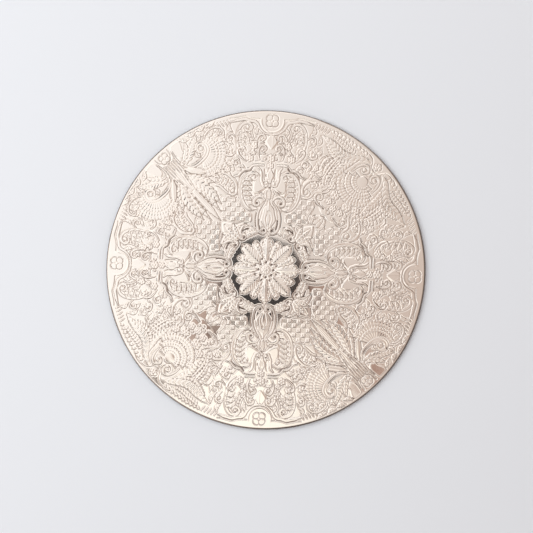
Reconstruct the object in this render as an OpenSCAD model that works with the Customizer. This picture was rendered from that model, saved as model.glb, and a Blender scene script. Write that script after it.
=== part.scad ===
// Round embossed table mat: a pressed metal face rolled over a hardboard disc, with felt underneath.
// Origin at the centre of the underside, +Z up. +Y runs through the middle of one of the four bud motifs.

/* [Mat] */
// Outer diameter of the mat over its rolled rim
mat_d = 254; // [200:1:305]

/* [Thicknesses] */
// Thickness of the felt disc underneath
felt_t = 0.8; // [0.6:0.1:2]
// Thickness of each film of adhesive
glue_t = 0.1; // [0.05:0.05:0.2]
// Thickness of the hardboard disc
board_t = 2.5; // [2:0.1:4]
// Thickness of the pressed metal sheet
sheet_t = 0.4; // [0.3:0.05:0.6]
// Height of the embossed ornament above its flat ground
relief_h = 0.8; // [0.3:0.1:1]

/* [Rim] */
// Outer radius of the rolled upper edge
rim_round_r = 1.5; // [1.2:0.1:1.8]
// Outer radius of the fold under the board
fold_round_r = 0.9; // [0.8:0.05:1]
// Width of the hem turned under the board
hem_w = 8; // [4:1:12]
// Gap left between the metal and the edge of the board
board_gap = 0.2; // [0.1:0.05:0.4]

/* [Felt] */
// Distance from the mat's outer edge to the edge of the felt
felt_inset = 4; // [2:0.5:6]

/* [Hidden] */
$fn = 64;

mat_r = mat_d / 2;
// The ornament is drawn on a mat of this radius and scaled with it
drawn_r = 127;
ornament_scale = mat_r / drawn_r;

felt_r = mat_r - felt_inset;
fold_z = felt_t + glue_t;
board_top_z = fold_z + board_t;
sheet_z = board_top_z + glue_t;
ground_z = sheet_z + sheet_t;
top_z = ground_z + relief_h;
board_r = mat_r - sheet_t - board_gap;
hem_inner_r = mat_r - hem_w;
rebate_r = hem_inner_r - board_gap;

// How far the ornament is sunk into the sheet, so that the two are one solid
bite = 0.2;
// Angles between the eight petals, and between the four bud motifs
petal_step = 45;
motif_step = 90;

// ---- Outlines that the ornament repeats ----

// Wedge from the origin between two angles, as a mask for arcs
function wedge(from, to, reach) = concat(
    [[0, 0]],
    [for (i = [0 : 6]) reach * [cos(from + (to - from) * i / 6), sin(from + (to - from) * i / 6)]]
);

// Band of width w along an arc of radius r about the point c
module arc_band(c, r, w, from, to) {
    translate(c)
        intersection() {
            difference() {
                circle(r + w / 2);
                circle(r - w / 2);
            }
            polygon(wedge(from, to, 2 * r));
        }
}

// Round bead of radius r
module bead(c, r) {
    translate(c) circle(r);
}

// Pointed leaf with its root at the point c, pointing along +Y turned by the angle a
module leaf(c, a, long, wide) {
    r = (long * long + wide * wide) / (4 * wide);
    translate(c)
        rotate(a)
            translate([0, long / 2])
                intersection() {
                    translate([r - wide / 2, 0]) circle(r);
                    translate([wide / 2 - r, 0]) circle(r);
                }
}

// A shape and its mirror image across the motif's own axis
module both_sides() {
    children();
    mirror([1, 0]) children();
}

// One prism of the ornament, standing on the ground
module raised() {
    translate([0, 0, ground_z - bite])
        linear_extrude(relief_h + bite)
            scale(ornament_scale) children();
}

// ---- The ornament, from the centre outwards ----

module rosette() {
    raised() bead([0, 0], 4.6);
    for (a = [0 : petal_step : 359]) {
        raised() rotate(a + petal_step / 2) bead([0, 8.2], 1.2);
        raised() rotate(a) leaf([0, 9.5], 0, 19.5, 8.4);
        raised() rotate(a + petal_step / 2) leaf([0, 12], 0, 13.5, 5);
    }
}

// Bud with its two foot scrolls
module bud() {
    raised() bead([0, 41], 8.6);
    raised() bead([0, 49.5], 5.6);
    both_sides() raised() bead([3.9, 32.2], 2.6);
}

// Large scroll beside the bud, with its eyes and leaflets
module side_scroll() {
    both_sides() {
        raised() arc_band([8, 64], 14, 2.6, -88, 68);
        raised() bead([10.6, 52.6], 2.3);
        raised() bead([12.6, 75], 3);
        raised() leaf([19.5, 60], 78, 8.5, 3);
        raised() leaf([19.8, 66], 96, 8.5, 3);
        raised() leaf([19, 71], 112, 7.5, 2.8);
    }
}

// Lyre above the scrolls, with a row of flowers up to the lozenge
module lyre() {
    both_sides() {
        raised() arc_band([0, 74], 7, 1.8, -40, 62);
        raised() bead([3.4, 67.4], 1.9);
        raised() translate([9.5, 84.2]) square([9, 2], center = true);
    }
    raised() bead([0, 75.4], 3.4);
    raised() bead([0, 81.6], 1.6);
    raised() bead([0, 88], 3.2);
    raised() polygon([[0, 96.5], [4, 102], [0, 108], [-4, 102]]);
}

// Curls and flowers beside the lozenge
module curls() {
    both_sides() {
        raised() bead([7.6, 106], 2.8);
        raised() bead([13, 97], 3.2);
        raised() bead([16.4, 89.6], 2.6);
        raised() leaf([24.5, 96], -4, 17, 4);
        raised() bead([19.2, 113.2], 2.4);
    }
}

// Four-lobed flower under its arch at the rim
module quatrefoil() {
    for (a = [0 : motif_step : 359])
        raised() translate([0, 119.6]) rotate(a) bead([0, 1.9], 1.7);
    raised() arc_band([0, 119.4], 7.4, 1.1, 152, 388);
    both_sides() raised() arc_band([22, 106], 13, 1.3, 52, 128);
}

// Panel of small raised squares beside each bud
module checker_panel() {
    cell = 3.8;
    panel_centre = [26, 47.5];
    panel_reach = [15, 9.5];
    both_sides()
        for (i = [2 : 10], j = [9 : 15])
            if ((i + j) % 2 == 0) {
                c = [(i + 0.5) * cell, (j + 0.5) * cell];
                d = [(c[0] - panel_centre[0]) / panel_reach[0], (c[1] - panel_centre[1]) / panel_reach[1]];
                if (norm(d) < 1) raised() translate(c) square(cell - 0.5, center = true);
            }
}

module bud_motif() {
    bud();
    side_scroll();
    lyre();
    curls();
    quatrefoil();
    checker_panel();
}

// Small scrolled frame and fan between the rosette and every diagonal
module corner_fan() {
    both_sides() {
        raised() bead([3.6, 27.6], 2);
        raised() leaf([1.5, 31], -32, 15, 3.6);
    }
    raised() leaf([0, 31], 0, 18, 4.4);
}

// Diagonal with two scallop shells and a sheaf of long leaves
module shell_diagonal() {
    both_sides() {
        raised() leaf([1.4, 92], 176, 28, 4.2);
        raised() leaf([4, 92], 190, 27, 4.2);
        raised() leaf([8, 93], 204, 24, 4.2);
        raised() leaf([9, 97], 226, 20, 4.2);
        raised() bead([23.6, 63.6], 3);
        raised() leaf([5.5, 113], 206, 24, 5);
        for (i = [0 : 5])
            raised() translate([28, 104]) rotate(205 + 26 * i) bead([0, 10.5], 2.4);
        raised() bead([28, 105], 4);
        raised() leaf([20, 117.5], -62, 14, 3.2);
        raised() leaf([33, 113], -68, 14, 3.2);
    }
    raised() leaf([0, 94], 180, 34, 5);
    for (a = [0 : motif_step : 359])
        raised() translate([0, 120.2]) rotate(a) bead([0, 1.7], 1.5);
    raised() leaf([0, 88], 0, 26, 6);
}

// Diagonal with one large scallop shell, roses and a tulip leaf
module rose_diagonal() {
    raised() bead([0, 104], 6.4);
    for (i = [0 : 8])
        raised() translate([0, 101]) rotate(100 + 20 * i) leaf([0, 8], 0, 7.5, 3.6);
    both_sides() {
        raised() bead([6.2, 113.4], 3);
        raised() bead([6.2, 81], 3.6);
        raised() bead([13.4, 70], 3.4);
        raised() bead([23.6, 63.6], 3);
        for (i = [0 : 4]) raised() leaf([21 + 0.8 * i, 86 + 5.4 * i], -58, 9.5, 3);
        raised() leaf([14, 117], -66, 16, 3.4);
        raised() leaf([30, 113], -66, 15, 3.2);
    }
    raised() bead([0, 72], 2.4);
    raised() leaf([0, 52], 0, 13, 6);
    for (a = [0 : motif_step : 359])
        raised() translate([0, 120.6]) rotate(a) bead([0, 1.6], 1.4);
}

module ornament() {
    rosette();
    for (k = [0 : 3]) {
        rotate(k * motif_step) bud_motif();
        rotate(k * motif_step + motif_step / 2) corner_fan();
    }
    for (k = [0 : 1]) {
        rotate(45 + 180 * k) shell_diagonal();
        rotate(-45 + 180 * k) rose_diagonal();
    }
}

// ---- The pressing, as a turned section ----

// Quarter of a ring of the sheet's thickness, about the point c with outer radius r
module quarter_bend(c, r, from) {
    translate(c)
        intersection() {
            difference() {
                circle(r);
                circle(r - sheet_t);
            }
            rotate(from) square(r + 1);
        }
}

module sheet_section() {
    translate([0, sheet_z]) square([mat_r - rim_round_r, sheet_t]);
    quarter_bend([mat_r - rim_round_r, ground_z - rim_round_r], rim_round_r, 0);
    translate([mat_r - sheet_t, fold_z + fold_round_r])
        square([sheet_t, ground_z - rim_round_r - fold_z - fold_round_r]);
    quarter_bend([mat_r - fold_round_r, fold_z + fold_round_r], fold_round_r, -90);
    translate([hem_inner_r, fold_z]) square([hem_w - fold_round_r, sheet_t]);
}

// ---- Sub-parts ----

// Pressed and silver-plated sheet with its rolled rim and hem
module face_plate() {
    color("Silver")
        union() {
            rotate_extrude() sheet_section();
            ornament();
        }
}

// Film of adhesive under the ground of the pressing
module face_glue() {
    color("Khaki")
        translate([0, 0, board_top_z])
            cylinder(h = glue_t, r = board_r - rim_round_r);
}

// Hardboard disc, chamfered to clear the rolled rim and rebated for the hem
module core_board() {
    hem_seat_z = fold_z + sheet_t;
    color("SaddleBrown")
        rotate_extrude()
            polygon([
                [0, fold_z],
                [rebate_r, fold_z],
                [rebate_r, hem_seat_z],
                [board_r - fold_round_r / 2, hem_seat_z],
                [board_r, hem_seat_z + fold_round_r / 2],
                [board_r, board_top_z - rim_round_r],
                [board_r - rim_round_r, board_top_z],
                [0, board_top_z]
            ]);
}

// Film of adhesive that holds the felt to the board and over the hem
module felt_glue() {
    color("Khaki")
        translate([0, 0, felt_t])
            cylinder(h = glue_t, r = felt_r - 1);
}

// Felt disc that the mat stands on
module felt_backing() {
    color("DarkGreen")
        cylinder(h = felt_t, r = felt_r);
}

face_plate();
face_glue();
core_board();
felt_glue();
felt_backing();
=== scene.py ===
import math

import bpy
import numpy as np
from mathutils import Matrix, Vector


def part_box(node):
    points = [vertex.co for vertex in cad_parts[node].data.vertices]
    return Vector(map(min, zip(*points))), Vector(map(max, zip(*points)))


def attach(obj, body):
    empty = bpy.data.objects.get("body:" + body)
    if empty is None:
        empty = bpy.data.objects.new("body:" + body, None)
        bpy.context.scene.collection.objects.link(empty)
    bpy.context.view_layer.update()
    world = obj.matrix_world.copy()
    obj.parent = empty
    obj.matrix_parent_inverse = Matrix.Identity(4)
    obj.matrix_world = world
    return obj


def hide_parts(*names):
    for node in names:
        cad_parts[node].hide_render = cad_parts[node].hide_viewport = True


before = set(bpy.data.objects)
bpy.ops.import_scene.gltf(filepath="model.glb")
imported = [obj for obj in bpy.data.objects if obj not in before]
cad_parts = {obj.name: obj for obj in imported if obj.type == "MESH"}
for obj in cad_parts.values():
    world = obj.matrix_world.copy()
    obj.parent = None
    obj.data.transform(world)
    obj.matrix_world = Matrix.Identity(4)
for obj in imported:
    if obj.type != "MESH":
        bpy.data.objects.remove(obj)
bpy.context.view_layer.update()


# ---- Relief: a height map of one quarter of the pressing, in millimetres ----

PITCH = 0.125
GRID_X = np.arange(-94.0, 94.0, PITCH)
GRID_Y = np.arange(-3.0, 128.0, PITCH)
STEP, OUTLINE_STEP = 0.25, 1.0
GROUND, PLAIN, LOW, MID, HIGH = 0.0, 0.34, 0.44, 0.56, 0.68
TALLEST = 0.86
MOAT_WIDTH, VEIN_SLANT, CURL_END = 0.3, 0.9, 0.3
CHECKER_CELL, SQUARE_HALF, DOT_PITCH = 3.75, 1.45, 1.25


class Motif:
    """The quarter's cells in a motif's own coordinates: +Y outward, turned and perhaps mirrored."""

    def __init__(self, turn, side):
        c, s = math.cos(math.radians(turn)), math.sin(math.radians(turn))
        gx, gy = np.meshgrid(GRID_X, GRID_Y)
        self.x = (side * (c * gx + s * gy)).astype(np.float32)
        self.y = (c * gy - s * gx).astype(np.float32)
        self.side, self.c, self.s = side, c, s

    def window(self, points, reach):
        """Slices of the cells within reach of the points, or None outside the quarter."""
        p = np.asarray(points, float).reshape(-1, 2)
        fx = self.side * p[:, 0]
        u = (self.c * fx - self.s * p[:, 1] - GRID_X[0]) / PITCH
        v = (self.s * fx + self.c * p[:, 1] - GRID_Y[0]) / PITCH
        r = reach / PITCH + 1
        i0, i1 = max(int(v.min() - r), 0), min(int(v.max() + r) + 1, len(GRID_Y))
        j0, j1 = max(int(u.min() - r), 0), min(int(u.max() + r) + 1, len(GRID_X))
        return (slice(i0, i1), slice(j0, j1)) if i1 > i0 and j1 > j0 else None


def smooth(t):
    t = np.clip(t, 0, 1)
    return t * t * (3 - 2 * t)


def bump(d, width):
    return np.exp(-np.square(d / width))


height = np.full((len(GRID_Y), len(GRID_X)), PLAIN, np.float32)


def lay(win, inside, top, soft=0.28, moat=0.21):
    """Lays a shape over the relief. inside is the distance within its edge. A groove runs round it."""
    h = height[win]
    cover = smooth(inside / soft + 0.5)
    if moat:
        h -= moat * bump(inside + 0.15 + MOAT_WIDTH * 0.5, MOAT_WIDTH) * (1 - cover)
    h += (top - h) * cover


def span(a, b, c, d, n):
    """n points of a smooth curve from b towards c, whose neighbours are a and d."""
    t = np.arange(n)[:, None] / n
    return 0.5 * (2 * b + (c - a) * t + (2 * a - 5 * b + 4 * c - d) * t**2
                  + (3 * b - a - 3 * c + d) * t**3)


def curve(points):
    """Points along a smooth curve through the given ones."""
    p = np.asarray(points, float)
    if len(p) == 2:
        n = max(int(np.linalg.norm(p[1] - p[0]) / STEP), 2)
        t = np.linspace(0, 1, n + 1)[:, None]
        return p[0] * (1 - t) + p[1] * t
    ends = np.vstack([2 * p[0] - p[1], p, 2 * p[-1] - p[-2]])
    out = []
    for a, b, c, d in zip(ends, ends[1:], ends[2:], ends[3:]):
        out.append(span(a, b, c, d, max(int(np.linalg.norm(c - b) / STEP), 2)))
    return np.vstack(out + [p[-1:]])


def curl(points, eye, turns, way):
    """The points, then a spiral from the last of them in to the eye. way is 1 for anticlockwise."""
    end, eye = np.asarray(points[-1], float), np.asarray(eye, float)
    r = np.linalg.norm(end - eye)
    a = math.atan2(*(end - eye)[::-1])
    t = np.linspace(0, 1, max(int(10 * turns), 4))[1:]
    radius = r * (1 + (CURL_END - 1) * t)
    angle = a + way * 2 * math.pi * turns * t
    spiral = eye + np.stack([radius * np.cos(angle), radius * np.sin(angle)], 1)
    return np.vstack([np.asarray(points, float), spiral])


def nearest(motif, c, win, reach):
    """For each cell of a window, the squared distance to the nearest of the points, and which one it is."""
    x, y = motif.x[win], motif.y[win]
    best = np.full(x.shape, 1e6, np.float32)
    at = np.zeros(x.shape, np.int32)
    for k, p in enumerate(c):
        sub = motif.window([p], reach)
        if sub is None:
            continue
        rows, cols = (slice(max(s.start, w.start) - w.start, min(s.stop, w.stop) - w.start)
                      for s, w in zip(sub, win))
        d = (x[rows, cols] - p[0]) ** 2 + (y[rows, cols] - p[1]) ** 2
        closer = d < best[rows, cols]
        best[rows, cols][closer] = d[closer]
        at[rows, cols][closer] = k
    return best, at


def near(motifs, points, reach):
    """For each motif's cells near a curve: window, signed distance across, share of the length, length."""
    c = curve(points)
    steps = np.r_[0, np.cumsum(np.linalg.norm(np.diff(c, axis=0), axis=1))]
    length = steps[-1]
    tangent = np.gradient(c, axis=0)
    tangent /= np.linalg.norm(tangent, axis=1)[:, None] + 1e-9
    for m in motifs:
        win = m.window(c, reach)
        if win is None:
            continue
        best, at = nearest(m, c, win, reach)
        dx, dy = m.x[win] - c[at, 0], m.y[win] - c[at, 1]
        tx, ty = tangent[at, 0], tangent[at, 1]
        along = dx * tx + dy * ty
        across = tx * dy - ty * dx
        over = ((at == 0) & (along < 0)) | ((at == len(c) - 1) & (along > 0))
        dist = np.where(over, np.sqrt(best), np.abs(across))
        dist = np.where(best > reach * reach, reach, dist)
        yield win, dist * np.sign(across + 1e-9), np.clip((steps[at] + along) / length, 0, 1), length


def widths(s, values):
    """Half-width along a curve, smooth between the given values."""
    t = s * (len(values) - 1)
    k = np.clip(t.astype(int), 0, len(values) - 2)
    f = smooth(t - k)
    v = np.asarray(values, float)
    return v[k] * (1 - f) + v[k + 1] * f


def cord(motifs, points, half, top=MID, crown=0.1, split=0.0, moat=0.21):
    """A rounded band along a curve. split sinks its middle, which leaves a double line."""
    for win, across, s, _ in near(motifs, points, max(half) + 1.2):
        w = widths(s, half)
        t = np.abs(across) / np.maximum(w, 0.05)
        z = top + crown * np.sqrt(np.clip(1 - t * t, 0, 1)) - split * bump(t, 0.45)
        lay(win, w - np.abs(across), z, moat=moat)


def leaf(motifs, points, half, veins=0, lobes=0, lines=0, top=MID, crown=0.06, rib=0.16, depth=0.3,
         moat=0.21):
    """A leaf along a curve, with a midrib, side veins that slant forward, lines along it and a lobed edge."""
    for win, across, s, length in near(motifs, points, max(half) + 1.4):
        a = np.abs(across)
        ahead = np.clip(s - VEIN_SLANT * a / length, 0, 1)
        w = widths(s, half)
        if lobes:
            w = w * (1 - depth + depth * np.abs(np.sin(math.pi * (lobes * ahead + 0.5))) ** 0.7)
        t = a / np.maximum(w, 0.05)
        z = top + crown * (1 - t**1.3) - rib * bump(across, 0.24)
        for k in range(1, lines + 1):
            z = z - 0.13 * bump(a - w * k / (lines + 1), 0.22)
        if veins:
            z = z - 0.14 * smooth(t * 3) * (0.5 + 0.5 * np.cos(2 * math.pi * veins * ahead)) ** 4
        lay(win, w - a, z, moat=moat)


def leaves(motifs, rows, veins=3, ends=(0.4, 0.2)):
    """Plain leaves, each given by its root, middle, tip and half-width."""
    for root, middle, tip, half in rows:
        leaf(motifs, [root, middle, tip], [ends[0], half, ends[1]], veins=veins)


def polar(motifs, centre, reach, turn=0):
    """For each motif: window, distance and angle (clockwise from its +Y, radians) about a centre."""
    for m in motifs:
        win = m.window([centre], reach)
        if win is not None:
            dx, dy = m.x[win] - centre[0], m.y[win] - centre[1]
            yield win, np.hypot(dx, dy), np.arctan2(dx, dy) - math.radians(turn)


def bead(motifs, centre, r, top=MID, crown=0.14, moat=0.21):
    """A small dome."""
    for win, d, _ in polar(motifs, centre, r + 1.2):
        z = top + crown * np.sqrt(np.clip(1 - (d / r) ** 2, 0, 1))
        lay(win, r - d, z, moat=moat)


def pit(motifs, centre, r, depth):
    """A soft round hollow."""
    for win, d, _ in polar(motifs, centre, 2.5 * r):
        height[win] -= depth * bump(d, r)


def flower(motifs, centre, r, petals=5, turn=0, top=MID, eye=0.3, cut=0.3, moat=0.21):
    """A flower with a round eye. cut is how far its edge goes in between the petals."""
    for win, d, a in polar(motifs, centre, r + 1.2, turn):
        lobe = np.abs(np.cos(a * petals / 2))
        edge = r * (1 - cut + cut * lobe**0.6)
        between = np.abs(a / math.pi * petals / 2 % 1 - 0.5) * 2 * math.pi / petals * d
        z = top + 0.12 - 0.1 * np.square(d / r) - 0.25 * bump(between, 0.3)
        z = z - 0.22 * bump(d - eye * r * 1.15, 0.22)
        z = np.where(d < eye * r, top + 0.16 - 0.1 * np.square(d / (eye * r)), z)
        lay(win, edge - d, z, moat=moat)


def flowers(motifs, rows, turn=0):
    """Small flowers, each given by its centre and radius."""
    for centre, r in rows:
        flower(motifs, centre, r, turn=turn)


def shell(motifs, centre, r, start, stop, flutes, top=MID, lip=0.25, depth=0.2):
    """A scallop shell: ribs fan out from the centre between two angles to a lip and a scalloped edge."""
    middle, spread = math.radians((start + stop) / 2), math.radians((stop - start) / 2)
    for win, d, a in polar(motifs, centre, r + 1.2):
        off = (a - middle + math.pi) % (2 * math.pi) - math.pi
        turn = off / (2 * spread) * flutes
        from_line = np.abs(turn - np.round(turn)) / flutes * 2 * spread * d
        edge = r * (0.93 + 0.07 * np.abs(np.sin(math.pi * turn)) ** 0.6)
        inside = np.minimum(np.minimum(edge - d, d), (spread - np.abs(off)) * d)
        z = top + 0.06 - depth * bump(from_line, 0.3) * smooth(d / r * 2.2)
        z = z - 0.16 * bump(d - (edge - lip * r * 0.6), 0.24)
        lay(win, inside, z)


def depth_within(x, y, ring):
    """Distance of points from an outline, positive within it."""
    best = np.full(x.shape, 1e6, np.float32)
    within = np.zeros(x.shape, bool)
    for (x0, y0), (x1, y1) in zip(ring, ring[1:]):
        ex, ey = x1 - x0, y1 - y0
        t = np.clip(((x - x0) * ex + (y - y0) * ey) / (ex * ex + ey * ey + 1e-9), 0, 1)
        np.minimum(best, (x - x0 - t * ex) ** 2 + (y - y0 - t * ey) ** 2, out=best)
        if y0 != y1:
            within ^= ((y0 > y) != (y1 > y)) & (x < ex * (y - y0) / (y1 - y0) + x0)
    return np.sqrt(best) * np.where(within, 1, -1)


def region(motifs, points):
    """For each motif: window, and distance inside a closed outline."""
    ring = closed(points)
    for m in motifs:
        win = m.window(ring, 1.5)
        if win is not None:
            yield win, depth_within(m.x[win], m.y[win], ring)


def closed(points):
    """Closed smooth outline through the points."""
    p = np.asarray(points, float)
    ring = np.vstack([p[-1:], p, p[:2]])
    out = []
    for a, b, c, d in zip(ring, ring[1:], ring[2:], ring[3:]):
        out.append(span(a, b, c, d, max(int(np.linalg.norm(c - b) / OUTLINE_STEP), 1)))
    out = np.vstack(out)
    return np.vstack([out, out[:1]])


def field(motifs, points, top=GROUND, rim=0.0):
    """A level area inside an outline, such as sunk ground. rim raises a line round its edge."""
    for win, inside in region(motifs, points):
        lay(win, inside, top, moat=0)
        if rim:
            height[win] += rim * bump(inside, 0.45)


def checker(motifs, points):
    """A panel of raised squares with a dot in each, on a fine grid of dots, square to the quarter's axes."""
    for win, inside in region(motifs, points):
        u = GRID_X[win[1]][None, :] / CHECKER_CELL
        v = GRID_Y[win[0]][:, None] / CHECKER_CELL
        cu, cv = (u % 1 - 0.5) * CHECKER_CELL, (v % 1 - 0.5) * CHECKER_CELL
        odd = (np.floor(u) + np.floor(v)) % 2 == 0
        square = SQUARE_HALF - np.maximum(np.abs(cu), np.abs(cv))
        raised = MID - 0.2 * bump(np.hypot(cu, cv), 0.42)
        dots = np.cos(cu * 2 * math.pi / DOT_PITCH) * np.cos(cv * 2 * math.pi / DOT_PITCH)
        sunk = PLAIN - 0.12 + 0.08 * dots
        z = np.where(odd, sunk + (raised - sunk) * smooth(square / 0.2 + 0.5), sunk)
        lay(win, inside, z, moat=0.2)


AXIS = [Motif(0, 1), Motif(0, -1)]
SHELLS = [Motif(45, 1), Motif(45, -1)]
ROSES = [Motif(-45, 1), Motif(-45, -1)]
CORNERS = SHELLS + ROSES
MIDDLE = AXIS[:1]


def groove(motifs, points, half, depth):
    """A line pressed in along a curve."""
    for win, across, _, _ in near(motifs, points, max(half * 3, 1)):
        height[win] -= depth * bump(across, half)


def sprig(motifs, points, half, count, size, lean, side):
    """A row of small leaves along one side of a curve, with the curve itself if half isn't 0."""
    c = curve(points)
    for k in range(count):
        i = int((0.1 + 0.85 * k / (count - 1)) * (len(c) - 2))
        d = c[i + 1] - c[i]
        a = math.atan2(d[1], d[0]) + side * math.radians(lean)
        grow = 1 - 0.35 * abs(2 * k / (count - 1) - 1)
        tip = c[i] + size[0] * grow * np.array([math.cos(a), math.sin(a)])
        b = a + side * math.radians(25)
        middle = c[i] + 0.55 * size[0] * grow * np.array([math.cos(b), math.sin(b)])
        leaf(motifs, [c[i], middle, tip], [0.35, size[1], 0.15], rib=0.12)
    if half:
        cord(motifs, points, half)


def spoke(turn):
    """The unit vector at an angle in degrees, clockwise from +Y."""
    return np.array([math.sin(math.radians(turn)), math.cos(math.radians(turn))])


def rosette_base():
    """The rosette's lobed outline on its sunk ground, as a radius against the angle."""
    win, d, a = next(polar(MIDDLE, (0, 0), 34))
    lay(win, 32.5 - d, GROUND, moat=0, soft=1.0)
    from_axis = np.degrees(np.abs((a + math.pi / 4) % (math.pi / 2) - math.pi / 4))
    angles = (0, 4, 8, 12, 14.5, 17, 20, 25, 29, 32.5, 35.5, 40, 45)
    radii = (28, 25.9, 24.1, 22.4, 20.4, 22.3, 23.4, 23.6, 22.9, 20.6, 23.6, 25.6, 26.3)
    edge = np.interp(from_axis, angles, radii) + 1.4 * np.abs(np.cos(18 * a)) ** 0.6 - 1.0
    gaps = sum(bump(np.radians(from_axis - gap) * d, 0.4) for gap in (14.5, 32.5))
    lay(win, edge - d, LOW - 0.1 * gaps, moat=0.2, soft=0.3)


def rosette():
    """Leaves that stand out from a button in the middle."""
    rosette_base()
    for k in range(-4, 5):
        u = spoke(22.5 * k)
        if k % 2:
            leaf(MIDDLE, [8 * u, 16 * u, 23.2 * u], [0.8, 2.4, 2.8, 1.5], veins=6, lobes=4, crown=0.13,
                rib=0.12)
            pit(MIDDLE, 21.4 * u, 0.7, 0.35)
    for t in (-45, 45):
        u = spoke(t)
        leaf(MIDDLE, [7 * u, 17 * u, 27.4 * u], [1, 4.2, 5.2, 3.8, 0.5], veins=9, lobes=6, crown=0.22,
            rib=0.12)
    for t in (-90, 0, 90):
        u = spoke(t)
        leaf(MIDDLE, [7 * u, 17 * u, 28.4 * u], [0.8, 3, 3.8, 2.4, 0.3], veins=8, lobes=6, crown=0.16, rib=0)
        leaf(MIDDLE, [8 * u, 17 * u, 26.5 * u], [0.8, 1.8, 2.2, 1.4, 0.2], lines=2, top=MID + 0.03, crown=0.2,
            rib=0.06, moat=0.12)
    for k in range(-4, 5):
        for r, turn, size in ((6, 45 * k, 0.85), (9, 45 * k + 22.5, 1)):
            pit(MIDDLE, r * spoke(turn), size, 0.95)
    bead(MIDDLE, (0, 0), 3.5, crown=0.16)
    flower(MIDDLE, (0, 0), 2.7, 8, top=HIGH, eye=0.4)


def foot_frame():
    """Leafy scrolls that frame the rosette, from the bud's foot to the fan on the diagonal."""
    cord(AXIS, [(12, 34.6), (16, 36.4), (21, 36.6), (25.6, 35), (29, 36.4), (33, 37), (37, 37)],
        [1.1, 1.2, 0.9, 1, 0.9], top=GROUND, crown=0, moat=0)
    field(AXIS, [(0, 31.6), (6, 31), (11, 29.8), (16, 27.6), (20.6, 24.2), (24, 24), (29, 29), (33, 33),
        (35, 36.2), (32, 35.4), (28.5, 35), (25.6, 33.8), (22, 35.4), (18, 36), (13, 35.6), (9, 33.5),
        (3, 33)], PLAIN)
    leaf(AXIS, [(4.8, 30.6), (9, 30.2), (13.7, 28.4), (17.6, 25.6), (20.4, 22.6)], [0.9, 2.2, 2.6, 2, 0.4],
        veins=5, lobes=5, crown=0.14, depth=0.5, moat=0.12)
    leaf(AXIS, [(7.6, 32), (11, 32.2), (14.6, 31), (17, 28.8)], [0.6, 1.6, 1.5, 0.4], veins=5, lobes=5,
        crown=0.12)
    cord(AXIS, curl([(9.5, 33.6), (13, 35), (17.5, 34.8), (21.4, 32.2), (22.9, 28.4), (22.2, 25.2)],
        (19.6, 26.2), 0.9, -1), [0.4, 0.9, 1.2, 1.2, 1.1, 0.8], top=HIGH, split=0.14, moat=0.5)
    groove(AXIS, [(22.2, 26.6), (20.8, 29.2), (18.6, 31.2), (15.6, 32)], 0.6, 0.75)
    for tip, half in (((8.4, 39.5), 1.5), ((5.4, 44), 1.7)):
        leaf(CORNERS, [(1, 33.2), (0.5 * tip[0] + 1.2, 0.5 * tip[1] + 18.6), tip], [0.5, half, half, 0.5],
            veins=5, crown=0.1)
    leaf(CORNERS[::2], [(0, 33), (0, 40), (0, 48)], [0.7, 1.7, 1.4, 0.2], veins=6, lobes=4, crown=0.14,
        moat=0.12)
    cord(CORNERS, curl([(12.8, 37.6), (9.2, 37.6), (5.8, 36.2), (4.2, 33.4)], (2.6, 32.2), 0.8, -1),
        [0.3, 0.8, 0.8, 0.4])
    pit(AXIS, (18.5, 25.1), 1.1, 0.95)


def bud():
    """The closed bud on the axis, in its sunk channel."""
    field(AXIS, [(8.8, 33.8), (13, 34), (17.4, 35.6), (15, 37), (13.4, 38.6), (13.2, 41), (13.4, 44),
        (15.4, 46), (13, 46.6), (10, 47.4), (9, 41)], GROUND)
    field(AXIS, [(0, 29.6), (3.5, 28.7), (6.6, 29.6), (8.8, 33.5), (9.4, 38), (9.2, 43), (7.8, 48), (5, 51.5),
        (3.2, 54.5), (0, 55)], PLAIN - 0.06)
    leaf(MIDDLE, [(0, 33), (0, 42), (0, 54)], [2.4, 5.8, 4.4, 0.8], lines=2, crown=0.14, rib=0.0)
    cord(AXIS, curl([(3.6, 53.6), (5.8, 50.6), (8, 46.4), (8.9, 41), (8.6, 36), (7.6, 31.8), (5.6, 29.4)],
        (3.4, 31.3), 0.85, -1), [0.4, 0.8, 1, 1, 0.9, 0.5], moat=0.34)
    groove(AXIS, [(6.2, 32.4), (7.3, 36), (7.2, 39.6)], 0.5, 0.6)
    leaf(MIDDLE, [(0, 35), (0, 40), (0, 46)], [0.4, 1.5, 0.3], rib=0.1, crown=0.1)
    pit(AXIS, (3.5, 31.6), 1.05, 0.95)


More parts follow.
